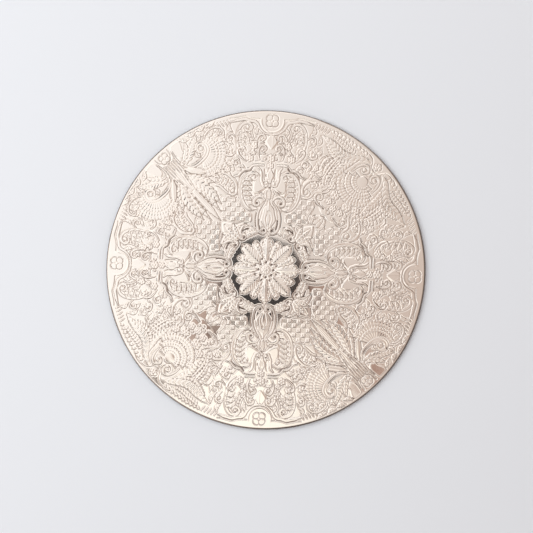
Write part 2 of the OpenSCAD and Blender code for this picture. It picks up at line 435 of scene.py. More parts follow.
def side_scroll():
    """The big C-scroll beside the axis, with the plain field inside it."""
    field(AXIS, [(8.3, 49.9), (11, 48.7), (14.6, 49), (16, 51), (13, 51.2), (11, 50.2)], GROUND)
    field(AXIS, [(11.5, 57.5), (13, 54), (16.5, 53.8), (19, 57), (20.3, 62), (20, 67.5), (17, 72),
        (13.5, 70.5), (12.8, 66), (13.2, 61)], PLAIN - 0.2)
    cord(AXIS, curl([(7.6, 49.6), (10.4, 47.5), (14, 47.2), (17.8, 49.2), (20.6, 52.8), (22.4, 57.5),
        (23, 63), (22.5, 68), (20.7, 72.4), (17.6, 75.7), (13.8, 77), (10.5, 75.8)], (12.4, 73.2), 0.8, 1),
        [0.4, 1.1, 1.5, 1.7, 1.8, 1.6, 1.1, 0.5], split=0.16)
    bead(AXIS, (12.5, 73.3), 1.3)
    cord(AXIS, curl([(2.9, 53), (3.4, 55.6), (5.4, 57.6), (8.4, 57.8), (11, 56.4), (12, 54)], (9.4, 53), 0.85,
        -1), [0.5, 1.1, 1.3, 1.1, 0.5])
    pit(AXIS, (9.6, 52.8), 0.9, 0.85)
    rows = (((19.6, 55.5), (16.8, 56.4), (13.6, 54.8)), ((20.6, 59.4), (17.4, 60.2), (13.8, 58.6)),
        ((21, 63.4), (17.8, 64.2), (14.2, 62.8)), ((20.8, 67.4), (17.8, 68.2), (14.2, 66.8)),
        ((19.4, 71), (17, 71.8), (14.2, 70.2)))
    for row in rows:
        leaf(AXIS, row, [0.7, 1.7, 1.3, 0.25], veins=3)
    field(AXIS, [(3.6, 65.6), (8, 62.2), (11.2, 61.2), (12.6, 64), (12.4, 68), (11, 71.6), (9.6, 75.4),
        (7.6, 73), (6.4, 68.6)], LOW)
    groove(AXIS, [(0, 65.2), (3, 64.4), (5.6, 62.2), (8.4, 60.4), (11, 60)], 0.42, 0.4)
    leaf(MIDDLE, [(0, 54.5), (0, 59), (0, 64.6)], [0.8, 1.2, 1.5, 0.4], rib=0.1)
    leaf(AXIS, [(2, 56), (3.2, 59.4), (2.4, 63)], [0.4, 1.1, 0.3])
    leaf(AXIS, [(4.4, 58.6), (6, 60.2), (8.4, 59.2)], [0.5, 0.9, 0.2])


def lyre():
    """The lyre on the axis, and the bars above it."""
    cord(AXIS, curl([(9.4, 81), (7.6, 78.6), (7, 75), (6.9, 71.4), (5.8, 68.6)], (3.4, 68.2), 0.9, -1),
        [0.5, 0.9, 0.9, 0.8, 0.4], moat=0.14)
    bead(AXIS, (3.3, 68.2), 0.9)
    field(AXIS, [(3.5, 71), (4.8, 72), (5, 78), (4.4, 80.5), (3.3, 78)], GROUND)
    leaf(MIDDLE, [(0, 69.6), (0, 75), (0, 80.4)], [1, 3.1, 0.8], rib=0.12)
    cord(AXIS, [(1.1, 72), (1.8, 75), (1.1, 78)], [0.2, 0.4, 0.2], moat=0.1)
    bead(MIDDLE, (0, 66.8), 1.1)
    cord(AXIS, [(4.8, 85.1), (9, 85.1), (13.4, 85.1)], [0.3, 0.5, 0.3], top=LOW, moat=0.08)
    cord(AXIS, [(5.2, 82.8), (12.6, 82.6), (15.2, 80.9), (17, 79.2), (20.4, 78.7), (22.8, 76.8), (25, 74.2),
        (28, 73)], [0.4, 0.6, 0.8, 0.5], top=LOW + 0.06, moat=0.14)
    groove(AXIS, [(14.2, 81), (15.8, 78.3), (18.2, 77.4), (20.6, 76.8), (22.6, 75), (24, 72.4)], 0.6, 0.45)
    flower(MIDDLE, (0, 88.4), 3.3, 6)
    flower(MIDDLE, (0, 82.6), 2.6, 6)
    bead(AXIS, (4.4, 88), 0.9)
    bead(AXIS, (3.2, 91.6), 0.8)


def bower():
    """Curls, flowers and leaves between the bars and the rim, about the plain lozenge."""
    field(AXIS, [(6, 93), (10, 90), (14, 94), (12, 99), (10.5, 104), (5.6, 103), (5, 98)], PLAIN - 0.2)
    field(AXIS, [(0, 96.2), (2.3, 98.8), (4.1, 102), (2.3, 105.4), (0, 107.8), (-1, 102)], MID, rim=0.06)
    cord(AXIS, curl([(17.6, 91.4), (14.6, 94.6), (12.4, 99), (11.8, 103.4), (9.9, 106.8), (7, 107.1)],
        (7.3, 104.6), 0.9, 1), [0.4, 0.8, 0.9, 0.8, 0.45])
    bead(AXIS, (7.4, 104.6), 1)
    cord(AXIS, curl([(9, 87.4), (10.2, 91.4), (9.9, 95.6), (8, 98.8), (5.3, 98.5)], (6.3, 96), 0.8, 1),
        [0.4, 0.8, 0.7, 0.4])
    bead(AXIS, (6.4, 96), 0.85)
    leaf(AXIS, [(8.6, 92), (6.4, 92.8), (4, 91.8)], [0.4, 1.1, 0.2])
    leaf(AXIS, [(9.6, 100.6), (7.8, 101.6), (5.4, 100.8)], [0.3, 1, 0.2])
    flower(AXIS, (13.6, 98), 2.7, 5, 20)
    flower(AXIS, (16.6, 88.2), 3, 6)
    flower(AXIS, (14, 92.6), 2, 5)
    sprig(AXIS, [(12, 100.5), (15, 105), (16, 110), (14.8, 113.6)], [0.4, 0.6, 0.3], 6, (3.6, 1), 45, -1)
    leaves(AXIS, (((11.8, 106.5), (12.4, 109.6), (11, 113.4), 1.5),
        ((16.8, 99), (19, 101.8), (18.8, 106), 1.5)))
    cord(AXIS, curl([(23, 91), (25.4, 95), (27, 100), (27.4, 105.4), (26.4, 110.8), (23.6, 115),
        (19.6, 116.2)], (19.4, 112.4), 1.1, 1), [0.4, 0.8, 1, 1.1, 1, 0.8, 0.45], split=0.1)
    bead(AXIS, (19.4, 112.4), 1.15)
    leaves(AXIS, (((26.4, 109), (23.4, 109.6), (19.6, 108), 1.3),
        ((26.8, 105), (23.4, 105.4), (19.4, 103.4), 1.4), ((26.4, 101), (23.4, 101), (20.2, 98.6), 1.4),
        ((25, 96.6), (22.4, 96.4), (19.8, 94.2), 1.2)))
    cord(AXIS, curl([(19.6, 85.6), (22.6, 87.6), (25.6, 90.6), (26.6, 94)], (24.2, 94), 0.8, 1),
        [0.3, 0.7, 0.7, 0.35])


def rim_frame():
    """The quatrefoil in its arch, and the waving band inside the rim."""
    cord(AXIS, [(0, 107.4), (5.2, 108.4), (9.4, 111.8), (11.8, 115.8), (14, 117.4), (17.6, 117.9),
        (21.4, 118.9), (25.4, 118.2), (29.6, 117.2), (33.4, 115.6)], [0.7, 0.7, 1, 1.2, 1.2, 1.1, 0.4],
        crown=0.1, moat=0.12)
    groove(AXIS, [(5.4, 124.2), (6.6, 121.8), (8.6, 119.7), (13, 119.4), (18, 120), (21.6, 121),
        (25.6, 120.3), (30, 119.2), (33.6, 118.8)], 0.36, 0.24)
    for win, d, _ in polar(MIDDLE, (0, 118.4), 11):
        fade = smooth((121.5 - MIDDLE[0].y[win]) / 4)
        lay(win, 9.6 - d, PLAIN + (MID - PLAIN) * fade, moat=0)
        lay(win, 8.4 - d, PLAIN, moat=0)
    flower(MIDDLE, (0, 118.4), 5.4, 4, 45, cut=0.34, eye=0.2, top=MID + 0.1, moat=0.36)


def panels():
    """Checker panels beside the frame's tips."""
    checker(AXIS, [(13.2, 39.6), (14.6, 37.8), (18, 37.7), (22, 37), (25.5, 35.8), (29, 36.8), (33.6, 37.4),
        (36, 39.4), (39, 43), (40.4, 48), (40.6, 53), (38.6, 57), (34, 57.6), (28, 56.8), (25.2, 56.4),
        (23.6, 52.6), (20.6, 48.6), (17, 45.8), (14.6, 45.2), (13.2, 43.4)])
    cord(CORNERS, [(2.6, 53), (3.1, 50), (5.4, 46.2), (9, 43.2), (12.6, 39.8), (15.6, 36), (17.4, 34)],
        [0.3, 0.5, 0.6, 0.5, 0.3], moat=0.35)


def shell_diagonal():
    """The diagonal with a sheaf of leaves between two scallop shells."""
    both, one = SHELLS, SHELLS[:1]
    # sheaf of long leaves that run in from the rim
    field(both, [(0, 52), (4, 57), (8.6, 62.4), (11, 67), (13.6, 72.6), (16.6, 78), (20, 84), (14, 98),
        (0, 98)], PLAIN - 0.16)
    leaf(both, [(2.2, 94), (5.6, 76), (5, 58)], [0.8, 2.4, 2.2, 0.2], veins=8, lobes=7, crown=0.1, moat=0.3)
    leaf(both, [(4.6, 98), (10.4, 88.6), (17.2, 78.4)], [0.8, 2.8, 2.8, 0.3], veins=7, lobes=6, crown=0.12,
        moat=0.3)
    leaf(both, [(3.6, 96), (9.2, 80), (9.4, 62.6)], [0.9, 3.6, 3.6, 0.3], veins=9, lobes=8, crown=0.14,
        moat=0.3)
    leaf(both, [(5.6, 103.6), (11.4, 96.4), (19, 87)], [0.6, 2.5, 2.3, 0.2], lines=1, crown=0.14, rib=0,
        moat=0.3)
    leaf(one, [(0, 98), (0, 76), (0, 52)], [1.2, 2.5, 2.7, 0.3], lobes=10, lines=1, depth=0.16, crown=0.18,
        moat=0.3)
    # bound stems above the sheaf
    for x0, x1 in ((0.9, 0.5), (2.9, 1.8), (5, 3.4)):
        cord(both, [(x0, 113.6), (x0, 105), (x1, 94), (x1 * 0.5, 86)], [0.6, 0.9, 0.6, 0.3], moat=0.16)
    cord(both, [(7.4, 119.4), (6.8, 114.6), (6.9, 109), (8.8, 104), (12.4, 99.4)], [0.3, 0.7, 0.9, 0.5],
        moat=0.14)
    # plain cartouche at the rim, with the quatrefoil between the two
    field(both, [(9.6, 123), (8.6, 119.6), (8.2, 115.4), (9.4, 111.9), (12.2, 110.9), (14.6, 112.4),
        (14.9, 115.6), (16.6, 118.6), (17.3, 122.2), (14, 123.2)], MID, rim=0.08)
    groove(both, [(0, 114.4), (3, 115.2), (5.2, 118), (6.4, 123.4)], 0.35, 0.35)
    flower(one, (0, 119.4), 4.4, 4, 45, cut=0.34, eye=0.2, top=MID + 0.1, moat=0.36)
    # shell behind the scroll, as two rings of flutes
    shell(both, (24.5, 103.6), 20.4, 52, 208, 19, top=LOW + 0.04, depth=0.12)
    shell(both, (24.5, 103.6), 14.2, 48, 212, 15, depth=0.1)
    # feathered leaf and large scroll in front of the shell
    leaf(both, [(9, 104.5), (14, 107), (20, 109.8), (27, 113.6), (31, 117)], [0.6, 3, 3.4, 2.4, 0.3],
        veins=10, lobes=7)
    leaf(both, [(7.6, 108), (12.6, 109), (18, 113.6), (21.6, 118.8)], [0.4, 1.9, 1.7, 0.2], veins=6, lobes=4)
    cord(both, curl([(7.8, 104.4), (11.6, 100.6), (16, 99), (21, 98.9), (26.2, 99.6), (30.4, 102.4),
        (31.4, 106.8), (28.8, 109.9)], (27, 105.8), 0.8, 1), [0.5, 1.3, 1.6, 1.6, 1.5, 1.1, 0.6], split=0.18)
    bead(both, (27, 105.8), 1.7)
    leaf(both, [(22, 101.6), (20.6, 104), (22.4, 106.6)], [0.4, 1.1, 0.2])
    # leaves along the rim
    leaves(both, (((18.4, 123), (20.6, 119.8), (25, 117.6), 1.5),
        ((25, 121.8), (28, 119.2), (33, 118.6), 1.6), ((33, 119), (37, 117.2), (41, 117.4), 1.4),
        ((41, 116), (45, 114.6), (50, 114.8), 1.4), ((33, 113.6), (38, 113), (43, 114), 1.5),
        ((35, 110.4), (40, 109.4), (45, 111), 1.6), ((38, 106.8), (43, 105.8), (48, 108), 1.6),
        ((42, 102), (46, 101.6), (50, 104), 1.5), ((30.4, 111.6), (32.2, 113.8), (31.4, 117), 1.2)), veins=4)
    cord(both, curl([(33.6, 109.6), (37.4, 112), (42, 112.4), (47, 110.6), (49.6, 106.6), (48.4, 102.6)],
        (46.8, 104.8), 0.7, -1), [0.4, 0.7, 0.8, 0.7, 0.4])


def shell_flanks():
    """Between the sheaf and the scrolls beside it."""
    cord(SHELLS, curl([(22, 82.6), (26, 80.6), (28.6, 76.6), (29.2, 71), (28, 65.8), (25.2, 61.8),
        (21.8, 61.2)], (22.8, 64), 0.85, -1), [0.4, 0.9, 1, 1, 0.9, 0.5])
    bead(SHELLS, (22.9, 64), 1.3)
    leaves(SHELLS, (((26.8, 73.6), (24, 73.6), (20.6, 71.2), 1.4),
        ((27.4, 69.6), (24.2, 69.8), (20.4, 67.4), 1.4), ((25.4, 77.4), (22.6, 77), (19.6, 74.8), 1.3)),
        ends=(0.5, 0.2))
    cord(SHELLS, [(17, 62.4), (19, 60.4), (21.4, 58.6)], [0.3, 0.6, 0.3])
    flowers(SHELLS, (((20.4, 84.2), 2), ((25.4, 83.6), 1.8), ((31.6, 79.6), 2.4), ((36.6, 81.6), 2.1),
        ((34.6, 76.4), 1.5)), turn=15)


def rose_diagonal():
    """The diagonal with the palmette shell, its sprays and roses."""
    both, one = ROSES, ROSES[:1]
    # tulip in its sunk cup, above the fan
    field(both, [(0, 63.4), (3, 62.8), (6, 63.4), (9, 64.8), (13, 65.2), (16, 64.2), (12, 63), (9.8, 60),
        (8.6, 56.2), (5.6, 57.6), (3.4, 61), (0, 61.8)], GROUND)
    leaf(one, [(0, 50), (0, 56), (0, 62)], [1.2, 3, 2.4, 0.3])
    bead(both, (1.35, 58.5), 0.7, top=LOW)
    leaf(both, [(2, 50.4), (4.6, 53), (5.6, 57.4)], [0.5, 1.3, 0.3])
    leaf(both, [(4.6, 50), (8.6, 51.2), (10.6, 56.8), (11, 61.6)], [0.4, 1, 0.9, 0.3])
    # roses, beads and scrolls
    flower(one, (0, 72.2), 2.6, 6)
    bead(one, (0, 67), 1.2)
    bead(both, (2.8, 68.6), 1)
    bead(both, (3, 76), 1)
    flower(both, (6.6, 80.8), 3.9, 6, 10)
    flower(both, (6.4, 73.6), 2.6, 5)
    flower(both, (13.6, 84), 3.3, 6, 20)
    cord(both, curl([(5, 66.4), (8.6, 66), (12.6, 66), (16.4, 67.6), (17.4, 71)], (14, 70.2), 0.9, 1),
        [0.3, 0.7, 0.9, 0.8, 0.4])
    bead(both, (14, 70.2), 1.4)
    cord(both, [(12.4, 79.6), (13.8, 76), (17.2, 73.2), (19.4, 69.8), (19, 65.6), (20.2, 62), (22.8, 59.6),
        (24, 58)], [0.4, 0.8, 0.9, 0.9, 0.8, 0.5])
    cord(both, curl([(20.6, 79.8), (24.6, 78.2), (28, 74.4), (29.2, 69.4), (27.8, 64.4), (24.6, 61.8)],
        (23.5, 65), 0.9, -1), [0.4, 0.9, 1, 1, 0.9, 0.5])
    bead(both, (23.5, 65), 1.4)
    leaf(both, [(27, 73), (24.6, 73.6), (21.4, 71.6)], [0.5, 1.3, 0.2], veins=3)
    leaf(both, [(9.4, 76.6), (11, 74.8), (11, 72)], [0.4, 1.2, 0.2])
    stem = [(17, 79.4), (20, 83), (22, 88), (23, 94), (23.4, 101)]
    sprig(both, stem, [0.5, 0.9, 0.4], 8, (5.2, 1.4), 42, -1)
    sprig(both, stem, 0, 7, (4.6, 1.3), 42, 1)
    # central shell
    shell(both, (0, 101), 18.4, 100, 260, 19, top=LOW + 0.04, depth=0.15)
    shell(both, (0, 102.5), 13.4, 96, 264, 15, depth=0.15)
    shell(both, (0, 104.4), 9.4, 84, 276, 13, top=MID + 0.04, lip=0.4, depth=0.12)
    bead(one, (0, 103.8), 4.2, crown=0.05, moat=0.08)
    bead(one, (0, 112), 2.2, top=GROUND, crown=0.06)
    cord(both, curl([(11.6, 104), (11.2, 109), (9.2, 113.6), (5.4, 115.2), (2.6, 112.8)], (5.6, 111.4), 0.8,
        1), [0.5, 0.9, 1, 0.9, 0.45])
    bead(both, (5.6, 111.4), 1.4)
    flower(one, (0, 120.6), 3.2, 4, cut=0.4, eye=0.26)
    groove(both, [(0, 116), (3.4, 117.2), (5.6, 120.4), (9, 122.6), (16, 122.9), (20, 121.6)], 0.36, 0.32)
    # feathered sprays under the rim
    sprig(both, [(30, 103), (29.8, 97), (29.6, 91), (28.4, 87)], 0, 6, (4.6, 1.3), 45, 1)
    sprig(both, [(26.5, 102), (25.8, 94), (23.4, 84)], [0.4, 0.7, 0.3], 7, (4.4, 1.3), 42, 1)
    leaf(both, [(15.5, 112.5), (19, 101), (17.6, 87)], [1, 2.9, 3, 0.4], veins=9, lobes=8)
    sprig(both, [(20, 108), (26, 103.8), (33, 104), (40, 105.4)], 0, 9, (5, 1.4), 58, -1)
    leaf(both, [(7.4, 118.6), (14, 116), (21, 110), (28, 106.4), (38, 106.4), (48, 105)],
        [0.8, 2, 2.6, 3.4, 3.6, 2.2, 0.3], lines=2, veins=12)
    sprig(both, [(19, 114.6), (25, 112.6), (33, 111.4), (42, 111)], 0, 9, (4.4, 1.3), 50, 1)
    sprig(both, [(10, 120.4), (18, 119.6), (26, 117.6), (36, 115.4), (46, 112)], 0, 10, (3.4, 1.1), 30, 1)
    flowers(both, (((10.6, 92.6), 1.6), ((19.4, 77), 1.4), ((32.6, 83.6), 2.2), ((26.4, 83.2), 1.8),
        ((31.6, 78.6), 2)))


def cartouches():
    """Small scrolled frames between the big scrolls, on both sides of every diagonal."""
    cord(AXIS, curl([(25.6, 58.8), (29, 59.4), (33, 59.8), (36.6, 62.6), (39.6, 65), (43.8, 66.4), (46, 69.6),
        (43.6, 72.6)], (42.4, 69.6), 0.7, 1), [0.4, 0.8, 1, 0.9, 0.9, 0.5], split=0.1)
    cord(AXIS, curl([(44, 73.8), (40, 74.4), (36.4, 77.2), (33.4, 76.6), (31.2, 73), (28, 70.6), (26.2, 66.6),
        (26.6, 62.8)], (29.6, 63.4), 0.8, 1), [0.4, 0.8, 0.9, 0.9, 0.8, 0.45], split=0.1)
    bead(AXIS, (29.4, 63.6), 1.4)
    bead(AXIS, (42.2, 69.6), 1.2)
    field(AXIS, [(32.4, 63.6), (36, 65.4), (39.4, 68.4), (38.6, 71.8), (35.6, 73.6), (32.6, 70.4),
        (31.2, 66.4)], PLAIN)
    flower(AXIS, (35.6, 69), 2.9, 5, 10)


def meadow():
    """Small curls and leaves that fill what is left between the motifs."""
    rows = (((28.6, 79), (31, 82.4), (30.2, 87)), ((33, 80), (36.4, 82.6), (37, 87.4)),
        ((37, 79), (40.6, 80), (43.4, 84)), ((29.6, 89), (32.4, 92), (32.4, 97)),
        ((20.4, 80.6), (23.4, 82), (26.8, 81)), ((30.6, 98.4), (33.8, 101), (34.6, 106)),
        ((31.4, 108.4), (34, 110.6), (34.2, 114.6)), ((35, 92), (38.6, 94), (40, 98.6)),
        ((35.6, 100), (38.8, 103), (39.2, 108)), ((41, 76.6), (45, 76), (48.8, 78.6)))
    leaves(AXIS, [(*row, 1.5) for row in rows])
    curls = (([(28.4, 92), (31.6, 89.4), (35.4, 90)], (34.2, 92.2), 1),
        ([(29, 104.4), (31.4, 106.8), (34.4, 105.6)], (32.8, 103.6), -1),
        ([(38.6, 89.6), (41.6, 92.6), (45, 91.6)], (43.4, 89.4), -1),
        ([(24.4, 84), (26, 87), (29, 86.4)], (27.6, 84.4), -1))
    for points, eye, way in curls:
        cord(AXIS, curl(points, eye, 0.8, way), [0.3, 0.8, 0.7, 0.35])
        bead(AXIS, eye, 0.9)
    flowers(AXIS, (((38, 76.6), 1.6), ((24.6, 79), 1.5), ((31.8, 94.6), 1.3), ((36.4, 97), 1.4),
        ((21.4, 91.2), 1.5)))


def strokes():
    """A row of short strokes close to the rim."""
    for k in range(5):
        u = spoke(16.6 + 1.3 * k)
        lean = np.array([0.9, 0.5])
        cord(AXIS, [119.2 * u - lean, 121.6 * u + lean], [0.15, 0.5, 0.15], moat=0.2)


def press():
    """Draws every motif, later ones over earlier ones."""
    for draw in (strokes, meadow, panels, cartouches, shell_diagonal, shell_flanks, rose_diagonal,
            side_scroll, lyre, bower, rim_frame, rosette, foot_frame, bud):
        draw()


# ---- The full disc, folded from the quarter ----

MM = 0.001
plate_low, plate_high = (np.array(c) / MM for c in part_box("face_plate"))
_, felt_high = (np.array(c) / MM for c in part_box("felt_backing"))
_, glue_high = (np.array(c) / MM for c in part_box("face_glue"))
MAT_R = plate_high[0]
SHEET_Z = glue_high[2]
SHEET_T = 0.4
GROUND_Z = SHEET_Z + SHEET_T
RELIEF = plate_high[2] - GROUND_Z
RELIEF_SCALE = RELIEF / TALLEST
RIM_Z = GROUND_Z + PLAIN * RELIEF_SCALE
SHOULDER, BEND, HEM = 1.7, 0.9, 8
FLAT_R = MAT_R - SHOULDER
RING_GAP, POINT_GAP, LEAST_POINTS = 0.3, 0.42, 48


def soften():
    """Binomial blur of the height map."""
    height[:, 1:-1] = (height[:, :-2] + 2 * height[:, 1:-1] + height[:, 2:]) / 4
    height[1:-1] = (height[:-2] + 2 * height[1:-1] + height[2:]) / 4


def fold(x, y):
    """Any point of the disc in the drawn quarter: the ornament mirrors across both diagonals."""
    swap = np.abs(x) > np.abs(y)
    sign = np.where(swap, np.sign(x), np.sign(y))
    sign = np.where(sign == 0, 1, sign)
    u = np.where(swap, y, x)
    v = np.where(swap, x, y)
    return u * sign, v * sign


def height_at(x, y):
    """The relief at any points of the disc, between the nearest cells of the map."""
    u, v = fold(x, y)
    i, j = (u - GRID_X[0]) / PITCH, (v - GRID_Y[0]) / PITCH
    i0 = np.clip(np.floor(i).astype(int), 0, len(GRID_X) - 2)
    j0 = np.clip(np.floor(j).astype(int), 0, len(GRID_Y) - 2)
    a, b = np.clip(i - i0, 0, 1), np.clip(j - j0, 0, 1)
    return ((1 - a) * (1 - b) * height[j0, i0] + a * (1 - b) * height[j0, i0 + 1]
            + (1 - a) * b * height[j0 + 1, i0] + a * b * height[j0 + 1, i0 + 1])


# length in millimetres, direction and phase in radians
SHEET_WAVES = ((31, 0.4, 0.3), (23, 1.7, 1.1), (17, 2.9, 2.0), (41, 2.2, 0.7), (13, 0.9, 2.6))


def waves(x, y):
    """The sheet's own slight unevenness, which bends the reflections in its flat parts."""
    total = np.zeros_like(x)
    for wave, angle, phase in SHEET_WAVES:
        total += np.sin(2 * math.pi * (x * math.cos(angle) + y * math.sin(angle)) / wave + phase) * wave
    return total * 0.00035


# ---- Mesh of rings, whose number of points doubles outwards ----

class Rings:
    """A turned mesh, built ring by ring."""

    def __init__(self):
        self.points, self.faces3, self.faces4, self.rows, self.count = [], [], [], [], 0

    def row(self, radius, z, n):
        """A ring of n points. radius and z are numbers, or z a function of x and y."""
        a = np.arange(n) * 2 * math.pi / n
        x, y = radius * np.cos(a), radius * np.sin(a)
        z = z(x, y) if callable(z) else np.full(n, float(z))
        self.points.append(np.stack([x, y, z], 1))
        self.rows.append(np.arange(n) + self.count)
        self.count += n
        if len(self.rows) > 1:
            self.join(self.rows[-2], self.rows[-1])

    def join(self, a, b):
        """Faces from ring a to ring b. One may have twice as many points, or be a single point."""
        if len(a) == 1 or len(b) == 1:
            ring, tip = (b, a[0]) if len(a) == 1 else (a, b[0])
            tips = np.full(len(ring), tip)
            face = [tips, ring, np.roll(ring, -1)] if len(a) == 1 else [ring, tips, np.roll(ring, -1)]
            self.faces3.append(np.stack(face, 1))
        elif len(a) == len(b):
            self.faces4.append(np.stack([a, b, np.roll(b, -1), np.roll(a, -1)], 1))
        else:
            grow = len(b) > len(a)
            few, many = (a, b) if grow else (b, a)
            few1, m0, m1, m2 = np.roll(few, -1), many[0::2], many[1::2], np.roll(many, -2)[0::2]
            for face in ((few, m0, m1), (few, m1, few1), (few1, m1, m2)):
                self.faces3.append(np.stack(face if grow else face[::-1], 1))

    def build(self, name):
        points = np.concatenate(self.points) * MM
        threes = np.concatenate(self.faces3)
        fours = np.concatenate(self.faces4)
        mesh = bpy.data.meshes.new(name)
        mesh.vertices.add(len(points))
        mesh.vertices.foreach_set("co", points.astype(np.float32).ravel())
        loops = np.concatenate([threes.ravel(), fours.ravel()])
        sizes = np.concatenate([np.full(len(threes), 3), np.full(len(fours), 4)])
        mesh.loops.add(len(loops))
        mesh.loops.foreach_set("vertex_index", loops.astype(np.int32))
        mesh.polygons.add(len(sizes))
        mesh.polygons.foreach_set("loop_start", np.r_[0, np.cumsum(sizes)[:-1]].astype(np.int32))
        mesh.polygons.foreach_set("loop_total", sizes.astype(np.int32))
        mesh.polygons.foreach_set("use_smooth", np.ones(len(sizes), bool))
        mesh.update(calc_edges=True)
        mesh.validate()
        piece = bpy.data.objects.new(name, mesh)
        bpy.context.collection.objects.link(piece)
        return piece


def ring_points(radius):
    """How many points a ring needs, always the least number doubled some times."""
    n = LEAST_POINTS
    while 2 * math.pi * radius / n > POINT_GAP:
        n *= 2
    return n


def arc(centre_r, centre_z, radius, start, stop, steps):
    """Points of a turned section along an arc, angles from +R towards +Z in degrees."""
    for k in range(steps + 1):
        a = math.radians(start + (stop - start) * k / steps)
        yield centre_r + radius * math.cos(a), centre_z + radius * math.sin(a)


def plate_top(x, y):
    """The pressed face, which levels out towards the rim."""
    edge = smooth((FLAT_R - np.hypot(x, y)) / 1.5)
    h = (height_at(x, y) - PLAIN) * edge + PLAIN
    return GROUND_Z + np.clip(h * RELIEF_SCALE + waves(x, y) * edge, -0.15, RELIEF)


def face_rows(rings):
    """From the middle of the face out to the shoulder."""
    rings.row(0, plate_top, 1)
    count = int(FLAT_R / RING_GAP)
    for k in range(1, count + 1):
        r = FLAT_R * k / count
        rings.row(r, plate_top, ring_points(r))


def edge_rows(rings, n):
    """Over the shoulder, round the rolled edge, in to the hem's end and back along the inside."""
    low = plate_low[2]
    hem_r = MAT_R - HEM
    outside = [
        *list(arc(FLAT_R, RIM_Z - SHOULDER, SHOULDER, 90, 0, 10))[1:],
        *arc(MAT_R - BEND, low + BEND, BEND, 0, -90, 7),
    ]
    hem = [
        (MAT_R - 3, low),
        (hem_r + 0.15, low),
        (hem_r, low + 0.12),
        (hem_r, low + SHEET_T - 0.12),
        (hem_r + 0.15, low + SHEET_T),
        (MAT_R - 3, low + SHEET_T),
    ]
    inside = [
        *arc(MAT_R - BEND, low + BEND, BEND - SHEET_T, -90, 0, 5),
        *arc(FLAT_R, RIM_Z - SHOULDER, SHOULDER - SHEET_T, 0, 90, 7),
    ]
    for r, z in outside + hem:
        rings.row(r, z, n)
    for r, z in inside:
        rings.row(r, min(z, RIM_Z - SHEET_T), n)


def back_rows(rings, n):
    """In over the sheet's hidden back, with ever fewer points."""
    r = FLAT_R - 1.2
    while n > LEAST_POINTS:
        rings.row(r, SHEET_Z, n)
        r -= 2.5
        n //= 2
    rings.row(r, SHEET_Z, n)
    rings.row(0, SHEET_Z, 1)


def pressed_plate():
    press()
    soften()
    rings = Rings()
    n = ring_points(FLAT_R)
    face_rows(rings)
    edge_rows(rings, n)
    back_rows(rings, n)
    return rings.build("pressed_plate")


plate = pressed_plate()
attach(plate, "root")
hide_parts("face_plate")


FELT_FRAY = 0.03


def felt_disc():
    """The felt, with a slightly frayed edge and a soft underside."""
    rng = np.random.default_rng(7)
    thick = felt_high[2]
    felt_r = felt_high[0]
    n = 384
    a = np.arange(n) * 2 * math.pi / n
    rough = sum(rng.uniform(-1, 1) * np.sin(k * a + rng.uniform(0, 6.3)) / k**0.5 for k in range(3, 90, 3))
    rough *= FELT_FRAY
    rings = Rings()

    def under(x, y):
        return 0.02 + 0.02 * np.sin(x * 0.31 + 1.0) * np.sin(y * 0.27)

    def edge_row(r, z):
        rings.row(r - 0.25, z, n)
        p = rings.points[-1]
        p[:, :2] *= (1 + (rough / felt_r))[:, None]

    rings.row(0, thick, 1)
    for r, m in ((10, 48), (30, 96), (60, 192), (100, 384)):
        rings.row(r, thick, m)
    for inset, level in ((0.25, 1), (0.05, 0.8), (0, 0.5), (0.08, 0.22)):
        edge_row(felt_r - inset, thick * level)
    edge_row(felt_r - 0.35, 0.03)
    for k in range(24):
        rings.row(felt_r - 1.5 - 4.2 * k, under, n)
    for r, m in ((20, 192), (10, 96), (4, 48)):
        rings.row(r, under, m)
    rings.row(0, under, 1)
    return rings.build("felt_disc")


felt = felt_disc()
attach(felt, "root")
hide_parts("felt_backing")


# ---- Materials ----

# The third colour is painted shade, for the plate's recesses and the lower right of its rolled edge.
SILVER, WARM_SILVER, PAINTED_SHADE_BROWN = (0.965, 0.905, 0.845), (0.945, 0.870, 0.805), (0.11, 0.075, 0.06)
PAINTED_SHADE_MOST = 0.9


def material(name):
    mat = bpy.data.materials.new(name)
    mat.use_nodes = True
    tree = mat.node_tree
    return mat, tree, tree.nodes["Principled BSDF"]


def add(tree, kind, **values):
    """A new node with its settings and input values. An underscore stands for a space in an input's name."""
    node = tree.nodes.new(kind)
    for key, value in values.items():
        if hasattr(node, key):
            setattr(node, key, value)
        else:
            node.inputs[key.replace("_", " ")].default_value = value
    return node


def noise(tree, place, **values):
    """Noise in object space, from 0 to 1."""
    node = add(tree, "ShaderNodeTexNoise", **values)
    tree.links.new(place.outputs["Object"], node.inputs["Vector"])
    return node.outputs["Fac"]


def mapped(tree, source, start, stop, low=0.0, high=1.0):
    """A value mapped from one range to another, clamped."""
    node = add(tree, "ShaderNodeMapRange", From_Min=start, From_Max=stop, To_Min=low, To_Max=high)
    tree.links.new(source, node.inputs["Value"])
    return node.outputs["Result"]


def blended(tree, share, first, second):
    """A mix of two colours, each a plain colour or a node's output."""
    node = add(tree, "ShaderNodeMix", data_type="RGBA")
    tree.links.new(share, node.inputs[0])
    for socket, colour in zip(node.inputs[6:8], (first, second)):
        if isinstance(colour, tuple):
            socket.default_value = (*colour, 1)
        else:
            tree.links.new(colour, socket)
    return node.outputs[2]


def vector_value(tree, place, operation, second=(0, 0, 0)):
    """A number worked out from the place in object space."""
    node = add(tree, "ShaderNodeVectorMath", operation=operation)
    tree.links.new(place.outputs["Object"], node.inputs[0])
    node.inputs[1].default_value = second
    return node.outputs["Value"]


def combined(tree, operation, first, second):
    node = add(tree, "ShaderNodeMath", operation=operation)
    tree.links.new(first, node.inputs[0])
    tree.links.new(second, node.inputs[1])
    return node.outputs[0]


